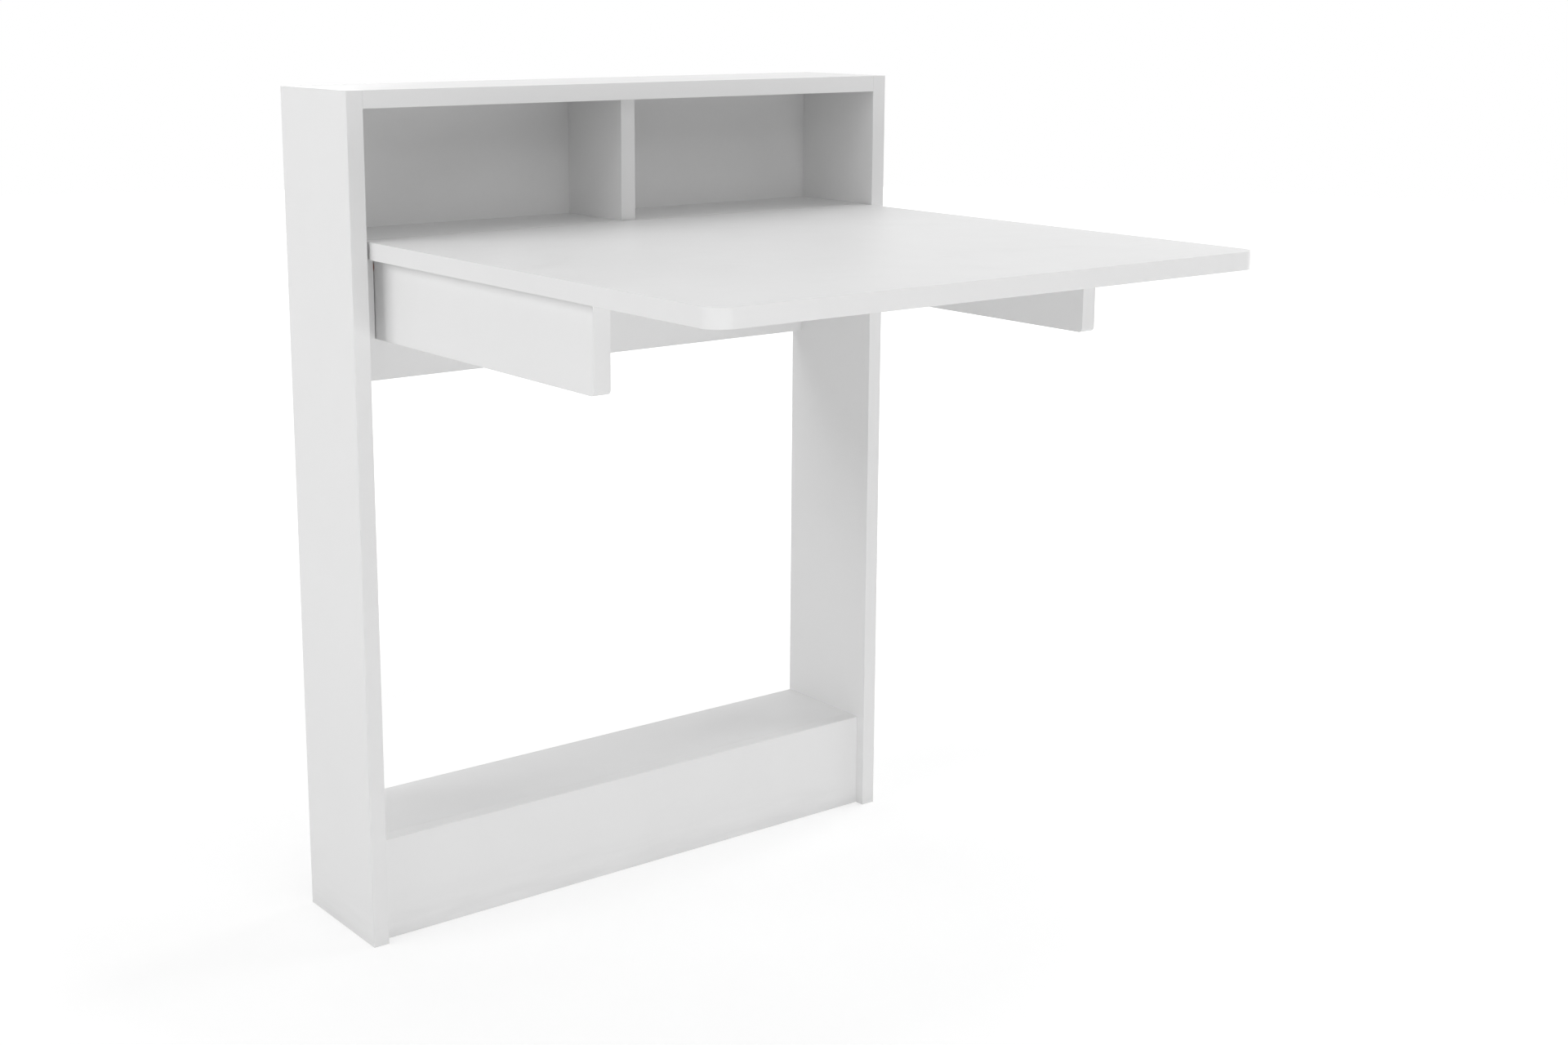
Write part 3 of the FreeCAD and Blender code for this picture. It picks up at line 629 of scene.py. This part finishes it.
def makeBoard(node, look):
    low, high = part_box(node)
    strips = bmesh.new()
    for way in look["bands"]:
        axis, side = ways[way]
        stripLow, stripHigh = low.copy(), high.copy()
        if side < 0:
            stripHigh[axis] = low[axis] = low[axis] + banding["thickness"]
        else:
            stripLow[axis] = high[axis] = high[axis] - banding["thickness"]
        addBlock(strips, stripLow, stripHigh, banding["rounding"], banding["roundingSteps"], (axis, side),
                 banding["seam"])
    core = bmesh.new()
    addBlock(core, low, high, banding["seam"], 1)
    for face in core.faces:
        for way in look.get("raw", ()):
            axis, side = ways[way]
            face.material_index = 1 if face.normal[axis] * side > squareOn else face.material_index
    board = meshPiece(camel(node), core, [look["face"], rawChip])
    cutBores(board, node)
    dressPiece(board, node, (node,), sharpEdges["board"])
    finishPiece(camel(node) + "Bands", strips, bandWhite, node)


sideBoards = {"bands": ("-y", "+y", "+z"), "raw": ("-z",), "face": footWhite}
topPanel = {"bands": ("-y", "+y"), "face": faceWhite}
backPanel = {"bands": ("-z",), "face": faceWhite}
shelfBoard = {"bands": ("-y",), "face": deskWhite}
dividerBoard = {"bands": ("-y",), "face": faceWhite}
bottomBoard = {"bands": ("+y",), "face": footWhite}
plinthBoard = {"bands": ("+z",), "raw": ("-z",), "face": footWhite}
cleatBoards = {"bands": ("-y", "-z"), "face": faceWhite}
for node, look in (("left_side", sideBoards), ("right_side", sideBoards), ("top_panel", topPanel),
                   ("back_panel", backPanel), ("shelf", shelfBoard), ("divider", dividerBoard),
                   ("bottom_board", bottomBoard), ("plinth_front", plinthBoard),
                   ("left_cleat", cleatBoards), ("right_cleat", cleatBoards)):
    makeBoard(node, look)
print("frame boards made, with", sum(len(found) for found in bores.values()), "bores")


def makeShapedBoard(node, outline, thickness, toSpace, face):
    # a board whose outline isn't a plain rectangle, with one band all the way round
    band, seam = banding["thickness"], banding["seam"]
    core = bmesh.new()
    addLoops(core, [(shifted(outline, band + seam), 0), (shifted(outline, band), seam),
                    (shifted(outline, band), thickness - seam), (shifted(outline, band + seam), thickness)],
             toSpace, True)
    board = meshPiece(camel(node), core, [face, rawChip])
    ring = bmesh.new()
    rims = roundedRims(outline, thickness, banding["rounding"], banding["roundingSteps"])
    rims = [(shifted(outline, band - seam), 0)] + rims + [(shifted(outline, band - seam), thickness)]
    rims += [(shifted(outline, band), thickness - seam), (shifted(outline, band), seam)]
    addLoops(ring, rims, toSpace, False)
    finishPiece(camel(node) + "Bands", ring, bandWhite, node)
    cutBores(board, node)
    dressPiece(board, node, (node,), sharpEdges["board"])


deskLeaf = {"cornerRadius": 20 * mm, "cornerSteps": 12, "face": deskWhite}
leafLow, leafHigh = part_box("desk_leaf")
radius, steps = deskLeaf["cornerRadius"], deskLeaf["cornerSteps"]
outline = arc(Vector((leafLow.x + radius, leafLow.y + radius)), radius, 180, 270, steps)
outline += arc(Vector((leafHigh.x - radius, leafLow.y + radius)), radius, 270, 360, steps)
outline += [Vector((leafHigh.x, leafHigh.y)), Vector((leafLow.x, leafHigh.y))]
makeShapedBoard("desk_leaf", outline, leafHigh.z - leafLow.z,
                lambda point, depth: Vector((point.x, point.y, leafLow.z + depth)), deskLeaf["face"])

armBoards = {"cornerRadius": 5 * mm, "cornerSteps": 6, "noseSteps": 8, "face": faceWhite}
for name, side in sides:
    low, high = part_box(f"{name}_arm")
    nose = high.y - foldAxis.y      # the rear end is rounded about the fold axis
    radius = armBoards["cornerRadius"]
    outline = arc(Vector((low.y + radius, low.z + radius)), radius, 180, 270, armBoards["cornerSteps"])
    outline += [Vector((high.y, low.z))]
    outline += arc(Vector((foldAxis.y, foldAxis.z)), nose, 0, 90, armBoards["noseSteps"])
    outline += [Vector((leafHigh.y, foldAxis.z + nose)), Vector((leafHigh.y, high.z)),
                Vector((low.y, high.z))]
    makeShapedBoard(f"{name}_arm", outline, high.x - low.x, upright(low.x), armBoards["face"])
print("leaf and arms made")


# fittings

def driverTools(look):
    def addTools(bm):
        depth, reach = look["recessDepth"], look["recessRadius"]
        if look["recess"] == "hex":
            addTurned(bm, plainBore(reach, overrun, -depth), segments=6)
            return
        half = look["recessWidth"] / 2
        quarter = [Vector((reach, -half)), Vector((reach, half)), Vector((half, half))]
        cross = [Matrix.Rotation(math.radians(turn), 2) @ point
                 for turn in (0, 90, 180, 270) for point in quarter]
        narrow = [point * look["recessTaper"] for point in cross]
        addLoops(bm, [(narrow, -depth), (cross, 0), (cross, overrun)],
                 lambda point, height: Vector((point.x, point.y, height)), True)
    return addTools


headForm = {"tipShare": 0.7, "panFootShare": 0.97, "sunkRimShare": 0.985, "domeTurns": (0, 20, 40, 60, 75)}


def headProfile(look, spot):
    # from the tip of the shank up to the middle of the head, which ends at height zero
    head, tall, shank, length = spot["headRadius"], spot["headHeight"], spot["shankRadius"], spot["length"]
    tip = [(0, -length), (shank * headForm["tipShare"], -length), (shank, -length + shank)]
    if look["head"] == "pan":
        edge = look["edge"] * tall
        turns = [math.radians(turn) for turn in headForm["domeTurns"]]
        dome = [(head * math.cos(turn) ** look["flatness"], -edge + edge * math.sin(turn)) for turn in turns]
        return tip + [(shank, -tall), (head * headForm["panFootShare"], -tall)] + dome + [(0, 0)]
    if look["head"] == "cam":
        chamfer = look["edge"] * head
        return [(0, -length), (head - chamfer, -length), (head, -length + chamfer), (head, -chamfer),
                (head - chamfer, 0), (0, 0)]
    rim = look["edge"] * tall   # countersunk
    return tip + [(shank, -tall), (head, -rim), (head * headForm["sunkRimShare"], 0), (0, 0)]


def fitFasteners(node, look, spots=None):
    # one fastener is made, and set at every spot with its drive turned a little further
    spots = spots or spotsOf(node)
    bm = bmesh.new()
    addTurned(bm, headProfile(look, spots[0]), segments=look["segments"])
    first = meshPiece("fastener", bm)
    cutAway(first, driverTools(look))
    pattern = first.data
    bpy.data.objects.remove(first)
    bm = bmesh.new()
    for index, spot in enumerate(spots):
        start = len(bm.verts)
        bm.from_mesh(pattern)
        bm.verts.ensure_lookup_table()
        spin = Matrix.Rotation(look["spin"] * index, 4, "Z")
        bmesh.ops.transform(bm, verts=bm.verts[start:], matrix=placed(spot["mouth"], spot["out"]) @ spin)
    bpy.data.meshes.remove(pattern)
    finishPiece(camel(node), bm, look["metal"], node, (node,), sharpEdges["fitting"])


camLocks = {"head": "cam", "edge": 0.06, "segments": 44, "spin": 0.0, "metal": brightZinc, "slot": "zinc",
            "recess": "cross", "recessRadius": 4.2 * mm, "recessWidth": 1.6 * mm, "recessDepth": 2.4 * mm,
            "recessTaper": 0.75}
fitFasteners("cam_locks", camLocks, camSpots)
panScrews = {"head": "pan", "edge": 0.8, "flatness": 0.55, "segments": 32, "spin": 2.4, "metal": brightZinc,
             "slot": "zinc", "recess": "cross", "recessRadius": 1.9 * mm, "recessWidth": 0.8 * mm,
             "recessDepth": 1.4 * mm, "recessTaper": 0.6}
for node in ("angle_screws", "plate_screws", "guide_screws"):
    fitFasteners(node, panScrews)
cleatScrews = {"head": "sunk", "edge": 0.1, "segments": 32, "spin": 2.4, "metal": brightZinc, "slot": "zinc",
               "recess": "cross", "recessRadius": 2.2 * mm, "recessWidth": 0.9 * mm, "recessDepth": 1.8 * mm,
               "recessTaper": 0.6}
fitFasteners("cleat_screws", cleatScrews)
pivotBolts = {"head": "pan", "edge": 0.45, "flatness": 0.4, "segments": 48, "spin": 0.0, "metal": drawnSteel,
              "slot": "steel", "recess": "hex", "recessRadius": 2.9 * mm, "recessDepth": 3 * mm}
for node in ("left_pivot_bolt", "right_pivot_bolt"):
    fitFasteners(node, pivotBolts)
print("screws, cams and bolts made")

angleBrackets = {"thickness": 2 * mm, "bend": 1.6 * mm, "bendSteps": 8, "cornerRadius": 4 * mm,
                 "cornerSteps": 5, "rounding": 0.3 * mm, "roundingSteps": 2}


def addBracket(bm, low, high, side):
    # a strip laid out flat with rounded ends, then bent up into an angle
    wide, tall, thick = high.x - low.x, high.z - low.z, angleBrackets["thickness"]
    inside, outside = angleBrackets["bend"], angleBrackets["bend"] + thick
    corner, steps = angleBrackets["cornerRadius"], angleBrackets["cornerSteps"]
    bends = angleBrackets["bendSteps"]
    flat, bent = wide - outside, (inside + thick / 2) * math.pi / 2
    length = flat + bent + tall - outside
    half, middleY = (high.y - low.y) / 2, (low.y + high.y) / 2
    runs = [flat / 2, flat] + [flat + bent * step / bends for step in range(1, bends + 1)]
    runs += [flat + bent + (tall - outside) / 2]
    outline = arc(Vector((corner, corner - half)), corner, 180, 270, steps)
    outline += [Vector((run, -half)) for run in runs]
    outline += arc(Vector((length - corner, corner - half)), corner, 270, 360, steps)
    outline += arc(Vector((length - corner, half - corner)), corner, 0, 90, steps)
    outline += [Vector((run, half)) for run in runs[::-1]]
    outline += arc(Vector((corner, half - corner)), corner, 90, 180, steps)

    def bendUp(point, depth):
        # depth 0 is the face against the boards
        run = point.x
        if run <= flat:
            away, down = wide - run, depth
        elif run <= flat + bent:
            turn = (run - flat) / bent * math.pi / 2
            away = outside - (outside - depth) * math.sin(turn)
            down = outside - (outside - depth) * math.cos(turn)
        else:
            away, down = depth, outside + run - flat - bent
        return Vector((high.x - away if side > 0 else low.x + away, middleY + point.y, high.z - down))

    rims = roundedRims(outline, thick, angleBrackets["rounding"], angleBrackets["roundingSteps"])
    loops = [[bm.verts.new(bendUp(point, depth)) for point in points] for points, depth in rims]
    addWalls(bm, loops, False)
    for loop in (loops[0], loops[-1]):
        # strips across the bracket, so that the faces follow the bend
        halfCount = len(loop) // 2
        lower, upper = loop[:halfCount], loop[halfCount:][::-1]
        for step in range(halfCount - 1):
            bm.faces.new((lower[step], lower[step + 1], upper[step + 1], upper[step]))


for name, side in sides:
    node = f"{name}_arm_angles"
    bm = bmesh.new()
    for points in solidsOf(node):
        addBracket(bm, *extent(points), side)
    bmesh.ops.recalc_face_normals(bm, faces=bm.faces)
    finishPiece(camel(node), bm, brightZinc, node, (node,), sharpEdges["moulded"])

pivotPlates = {"frontRadius": 3 * mm, "frontSteps": 5, "rearRadius": 7 * mm, "rearSteps": 10,
               "rounding": 0.4 * mm, "roundingSteps": 2, "hole": 4.1 * mm}
for name, side in sides:
    node = f"{name}_pivot_plate"
    low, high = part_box(node)
    thick = high.x - low.x
    outline = roundedPlate(low, high, pivotPlates["frontRadius"], pivotPlates["rearRadius"],
                           pivotPlates["frontSteps"], pivotPlates["rearSteps"])
    bm = bmesh.new()
    addLoops(bm, roundedRims(outline, thick, pivotPlates["rounding"], pivotPlates["roundingSteps"]),
             upright(low.x), True)
    plate = meshPiece(camel(node), bm, [drawnSteel])
    through = plainBore(pivotPlates["hole"], -overrun, thick + overrun)
    toAxis = placed((low.x, foldAxis.y, foldAxis.z), (1, 0, 0))
    cutAway(plate, lambda tools: addTurned(tools, through, toAxis))
    dressPiece(plate, node, (node,), sharpEdges["fitting"])

lockGuides = {"flange": 3 * mm, "cornerRadius": 4 * mm, "cornerSteps": 6, "rounding": 0.4 * mm,
              "roundingSteps": 2, "sleeve": 7 * mm, "bore": 4.15 * mm, "chamfer": 0.8 * mm}
lockPins = {"cut": 1 * mm, "tipShare": 1.5}
lockKnobs = {"bore": 4.05 * mm, "boreDepth": 9 * mm, "neck": 5.5 * mm, "neckCut": (0.5 * mm, 0.6 * mm),
             "neckShare": 0.4, "dish": 0.8 * mm, "dishShare": 0.5, "flutes": 14, "fluteDepth": 0.7 * mm,
             "segments": 112,
             # how far in from the full radius, at which share of the length; all but the last are fluted
             "grip": ((0.6 * mm, 0.5), (0, 0.56), (0, 0.84), (0.7 * mm, 0.95), (2 * mm, 1))}
for name, side in sides:
    into = Vector((-side, 0, 0))             # towards the middle of the desk
    node = f"{name}_lock_guide"
    low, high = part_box(node)
    outer = low.x if side < 0 else high.x    # against the arm
    middle = Vector((outer, (low.y + high.y) / 2, (low.z + high.z) / 2))
    corner, steps, thick = lockGuides["cornerRadius"], lockGuides["cornerSteps"], lockGuides["flange"]
    outline = roundedPlate(low, high, corner, corner, steps, steps)
    bm = bmesh.new()
    addLoops(bm, roundedRims(outline, thick, lockGuides["rounding"], lockGuides["roundingSteps"]),
             upright(outer, -side), True)
    guide = meshPiece(camel(node), bm, [drawnSteel])
    bore, sleeve, chamfer = lockGuides["bore"], lockGuides["sleeve"], lockGuides["chamfer"]
    toMiddle = placed(middle, into)
    cutAway(guide, lambda tools: addTurned(tools, plainBore(bore, -overrun, thick + overrun), toMiddle))
    length = high.x - low.x
    tube = bmesh.new()
    tube.from_mesh(guide.data)
    addRing(tube, [(bore, thick), (sleeve, thick), (sleeve, length - chamfer), (sleeve - chamfer, length),
                   (bore + chamfer / 2, length), (bore, length - chamfer / 2)], toMiddle)
    tube.to_mesh(guide.data)
    tube.free()
    dressPiece(guide, node, (node,), sharpEdges["fitting"])

    node = f"{name}_lock_pin"
    low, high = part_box(node)
    radius, length, cut = roundFit(node), high.x - low.x, lockPins["cut"]
    bm = bmesh.new()
    addTurned(bm, [(0, 0), (radius - cut, 0), (radius, lockPins["tipShare"] * cut), (radius, length - cut),
                   (radius - cut, length), (0, length)],
              placed((low.x if side < 0 else high.x, middle.y, middle.z), into))
    finishPiece(camel(node), bm, drawnSteel, node, (node,), sharpEdges["fitting"])

    node = f"{name}_lock_knob"
    low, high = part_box(node)
    radius, length = roundFit(node), high.x - low.x
    bore, neck, top = lockKnobs["bore"], lockKnobs["neck"], length - lockKnobs["dish"]
    stem = [(0, lockKnobs["boreDepth"]), (bore, lockKnobs["boreDepth"]), (bore, 0),
            (neck - lockKnobs["neckCut"][0], 0), (neck, lockKnobs["neckCut"][1]),
            (neck, length * lockKnobs["neckShare"])]
    grip = [(radius - inset, length * share) for inset, share in lockKnobs["grip"]]
    bm = bmesh.new()
    addTurned(bm, stem + grip + [(radius * lockKnobs["dishShare"], top), (0, top)],
              placed((low.x if side < 0 else high.x, middle.y, middle.z), into), lockKnobs["segments"],
              lockKnobs["flutes"], lockKnobs["fluteDepth"], range(len(stem), len(stem) + len(grip) - 1))
    finishPiece(camel(node), bm, blackMould, node, (node,), sharpEdges["moulded"])
print("brackets, plates and locks made")

dowelRods = {"flutes": 16, "fluteDepth": 0.35 * mm, "fluted": (2, 3), "chamfer": 1.2 * mm, "segments": 64}
bm = bmesh.new()
for spot in spotsOf("wood_dowels"):
    radius, length, chamfer = spot["headRadius"], spot["length"], dowelRods["chamfer"]
    addTurned(bm, [(0, 0), (radius - chamfer, 0), (radius, chamfer), (radius, length - chamfer),
                   (radius - chamfer, length), (0, length)],
              placed(spot["mouth"], -spot["out"]), dowelRods["segments"], dowelRods["flutes"],
              dowelRods["fluteDepth"], dowelRods["fluted"])
finishPiece("woodDowels", bm, beechWood, "wood_dowels", ("wood_dowels",), sharpEdges["moulded"])

keptNodes = {"cam_bolts": brightZinc, "pivot_inserts": turnedBrass, "friction_washers": redFibre,
             "spring_washers": drawnSteel, "pivot_bushes": turnedBrass}
for node, material in keptNodes.items():
    for place in nodes[node].material_slots:
        place.material = material
print("kept CAD nodes dressed:", len(keptNodes))


# studio

floorPlate = {"radius": 9.0, "segments": 96, "drop": 0.2 * mm, "color": (0.86, 0.86, 0.86), "roughness": 0.9,
              "fleckScale": 40.0, "fleckTone": 0.99,
              # near the desk only this share is plain white light, so that the shadow shows; further out, all
              "paper": 0.45, "paperLight": 1.24, "fadeStart": 0.6, "fadeEnd": 1.6}
paper, tree, shader = startMaterial("paper")
flecks = noise(tree, objectPoint(tree), floorPlate["fleckScale"], detail=4.0)
shade = spread(tree, flecks, floorPlate["fleckTone"], 1.0)
tree.links.new(tinted(tree, floorPlate["color"], shade), shader.inputs["Base Color"])
shader.inputs["Roughness"].default_value = floorPlate["roughness"]
shader.inputs["Specular IOR Level"].default_value = 0.0
white = put(tree, "ShaderNodeEmission", {"Color": (1, 1, 1, 1), "Strength": floorPlate["paperLight"]})
away = put(tree, "ShaderNodeVectorMath", {0: objectPoint(tree)}, operation="LENGTH").outputs["Value"]
fade = ranged(tree, away, floorPlate["fadeStart"], floorPlate["fadeEnd"], floorPlate["paper"], 1.0)
mixed = put(tree, "ShaderNodeMixShader", {0: sums(tree, "MULTIPLY", seenDirectly(tree), fade),
                                         1: shader.outputs[0], 2: white.outputs[0]})
tree.links.new(mixed.outputs[0], tree.nodes["Material Output"].inputs["Surface"])
bm = bmesh.new()
bmesh.ops.create_circle(bm, cap_ends=True, segments=floorPlate["segments"], radius=floorPlate["radius"])
floor = meshPiece("floor", bm, [paper])
floor.location.z = -floorPlate["drop"]

dome = {"strength": 0.36, "color": (1, 1, 1, 1)}
world = bpy.data.worlds.new("dome")
world.use_nodes = True
bpy.context.scene.world = world
tree = world.node_tree
sky = tree.nodes["Background"]
sky.inputs["Color"].default_value = dome["color"]
tree.links.new(ranged(tree, seenDirectly(tree), 0.0, 1.0, dome["strength"], 1.0), sky.inputs["Strength"])

softLamps = {
    "aboveRear": {"place": (0, 0.6, 3.1), "aim": (0, -0.1, 0.6), "size": (2.6, 2.6), "power": 17},
    "aboveRight": {"place": (2.4, -0.4, 2.6), "aim": (0, -0.3, 0.6), "size": (2.2, 2.2), "power": 22},
    "left": {"place": (-2.8, 0.1, 1.9), "aim": (0, -0.1, 0.5), "size": (2.2, 1.2), "power": 34},
    "leftFront": {"place": (-3.0, -1.2, 1.2), "aim": (0, -0.2, 0.5), "size": (1.6, 1.6), "power": 5},
    "lowFront": {"place": (-0.3, -3.0, 0.22), "aim": (0, -0.1, 0.2), "size": (2.4, 0.36), "power": 20},
    "aboveFront": {"place": (-0.4, -2.7, 2.3), "aim": (0, -0.3, 0.5), "size": (2.0, 1.0), "power": 9.5},
    "right": {"place": (3.0, -0.3, 1.5), "aim": (0, -0.2, 0.5), "size": (2.4, 2.2), "power": 30},
    "rear": {"place": (0.4, 3.2, 1.2), "aim": (0, -0.1, 0.5), "size": (2.0, 2.0), "power": 16},
}
for name, lamp in softLamps.items():
    light = bpy.data.lights.new(name, "AREA")
    light.shape = "RECTANGLE"
    light.size, light.size_y = lamp["size"]
    light.energy = lamp["power"]
    holder = bpy.data.objects.new(name, light)
    holder.location = lamp["place"]
    holder.rotation_euler = (Vector(lamp["aim"]) - Vector(lamp["place"])).to_track_quat("-Z", "Y").to_euler()
    bpy.context.scene.collection.objects.link(holder)

view = {"place": (-1.3115, -2.0305, 0.9884), "yaw": 36.60, "pitch": 11.52,
        "lens": 48.457, "shift": (0.05, -0.06), "sensor": 36}
camera = bpy.data.cameras.new("photoView")
camera.lens = view["lens"]
camera.sensor_width = view["sensor"]
camera.shift_x, camera.shift_y = view["shift"]
holder = bpy.data.objects.new("photoView", camera)
holder.location = view["place"]
holder.rotation_euler = (math.radians(90 - view["pitch"]), 0, -math.radians(view["yaw"]))
bpy.context.scene.collection.objects.link(holder)
bpy.context.scene.camera = holder
bpy.context.scene.view_settings.view_transform = "Standard"
print("studio, lamps and camera set")
